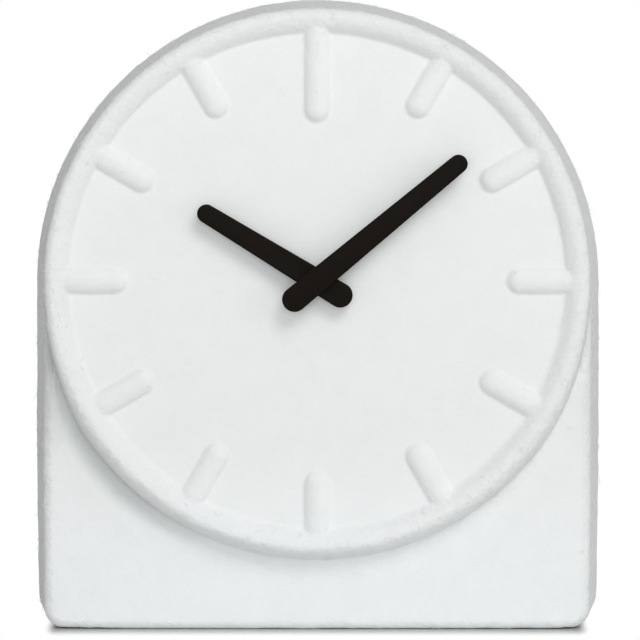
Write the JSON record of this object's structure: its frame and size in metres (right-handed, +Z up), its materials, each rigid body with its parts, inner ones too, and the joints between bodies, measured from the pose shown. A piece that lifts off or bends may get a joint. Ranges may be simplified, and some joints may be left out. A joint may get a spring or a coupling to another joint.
{
  "type": "table clock",
  "caption": "Free-standing arch-shaped table clock in moulded felt, with raised hour bars, baton hands and a battery quartz movement set from the rear well.",
  "frame": {"origin": "Middle of the footprint, on the surface that the clock stands on", "axes": "+Z up, the dial faces -Y and leans back, +X to the right of someone reading the dial"},
  "size_m": [0.1944, 0.0729, 0.2113],
  "materials": {
    "felt": "pressed wool felt, matt, fine fibres",
    "case_plastic": "moulded, fine texture",
    "screw_steel": "zinc plated",
    "movement_plastic": "moulded, fine texture",
    "motor_iron": "stamped soft iron",
    "copper_wire": "enamelled copper wire",
    "gear_plastic": "moulded acetal",
    "board_laminate": "paper laminate",
    "chip_resin": "epoxy resin",
    "nickel_can": "nickel plated",
    "cell_jacket": "printed metal jacket, plain",
    "contact_metal": "nickel plated spring strip",
    "brass": "turned",
    "hand_black": "matt black paint",
    "knob_plastic": "moulded, fluted edge",
    "magnet": "sintered magnet"
  },
  "bodies": {
    "case": {"felt_shell": "felt", "inner_case": "case_plastic", "rear_cover": "case_plastic", "cover_screws": "screw_steel", "movement_base": "movement_plastic", "movement_lid": "movement_plastic", "movement_screws": "screw_steel", "stator": "motor_iron", "coil_core": "motor_iron", "coil_bobbin": "gear_plastic", "coil_winding": "copper_wire", "driver_board": "board_laminate", "driver_chip": "chip_resin", "crystal_can": "nickel_can", "battery": "cell_jacket", "negative_contact": "contact_metal", "positive_contact": "contact_metal"},
    "minute": {"minute_arbor": "brass", "minute_hand_bush": "brass", "minute_hand": "hand_black", "clutch_spring": "contact_metal"},
    "hour": {"hour_wheel": "gear_plastic", "hour_hand_bush": "brass", "hour_hand": "hand_black"},
    "motion": {"motion_wheel": "gear_plastic"},
    "knob": {"setting_knob": "knob_plastic"},
    "rotor": {"rotor_pinion": "gear_plastic", "rotor_magnet": "magnet"},
    "intermediate": {"intermediate_wheel": "gear_plastic"},
    "second": {"second_wheel": "gear_plastic"},
    "third": {"third_wheel": "gear_plastic"},
    "center": {"center_wheel": "gear_plastic"}
  },
  "joints": [
    {"name": "minute_turn", "type": "hinge", "parent": "case", "child": "minute", "pos_m": [0, -0.03357, 0.1188], "axis": [0, 0.9976, -0.0698], "continuous": true},
    {"name": "hour_turn", "type": "hinge", "parent": "case", "child": "hour", "pos_m": [0, -0.03098, 0.11862], "axis": [0, 0.9976, -0.0698], "continuous": true},
    {"name": "motion_turn", "type": "hinge", "parent": "case", "child": "motion", "pos_m": [-0.012, -0.01631, 0.1176], "axis": [0, 0.9976, -0.0698], "continuous": true},
    {"name": "knob_turn", "type": "hinge", "parent": "case", "child": "knob", "pos_m": [-0.01707, -0.00508, 0.12771], "axis": [0, 0.9976, -0.0698], "continuous": true},
    {"name": "rotor_turn", "type": "hinge", "parent": "case", "child": "rotor", "pos_m": [0.01912, -0.01677, 0.11113], "axis": [0, 0.9976, -0.0698], "continuous": true},
    {"name": "intermediate_turn", "type": "hinge", "parent": "case", "child": "intermediate", "pos_m": [0.01085, -0.01659, 0.11366], "axis": [0, 0.9976, -0.0698], "continuous": true},
    {"name": "second_turn", "type": "hinge", "parent": "case", "child": "second", "pos_m": [0, -0.01631, 0.1176], "axis": [0, 0.9976, -0.0698], "continuous": true},
    {"name": "third_turn", "type": "hinge", "parent": "case", "child": "third", "pos_m": [-0.00474, -0.01561, 0.12774], "axis": [0, 0.9976, -0.0698], "continuous": true},
    {"name": "center_turn", "type": "hinge", "parent": "case", "child": "center", "pos_m": [0, -0.01631, 0.1176], "axis": [0, 0.9976, -0.0698], "continuous": true}
  ],
  "couplings": [
    {"joint": "motion_turn", "follows": "minute_turn", "ratio": -0.33333},
    {"joint": "hour_turn", "follows": "minute_turn", "ratio": 0.083333},
    {"joint": "knob_turn", "follows": "minute_turn", "ratio": 1},
    {"joint": "intermediate_turn", "follows": "rotor_turn", "ratio": -0.2},
    {"joint": "second_turn", "follows": "rotor_turn", "ratio": 0.033333},
    {"joint": "third_turn", "follows": "rotor_turn", "ratio": -0.0041667},
    {"joint": "center_turn", "follows": "rotor_turn", "ratio": 0.00055556}
  ]
}
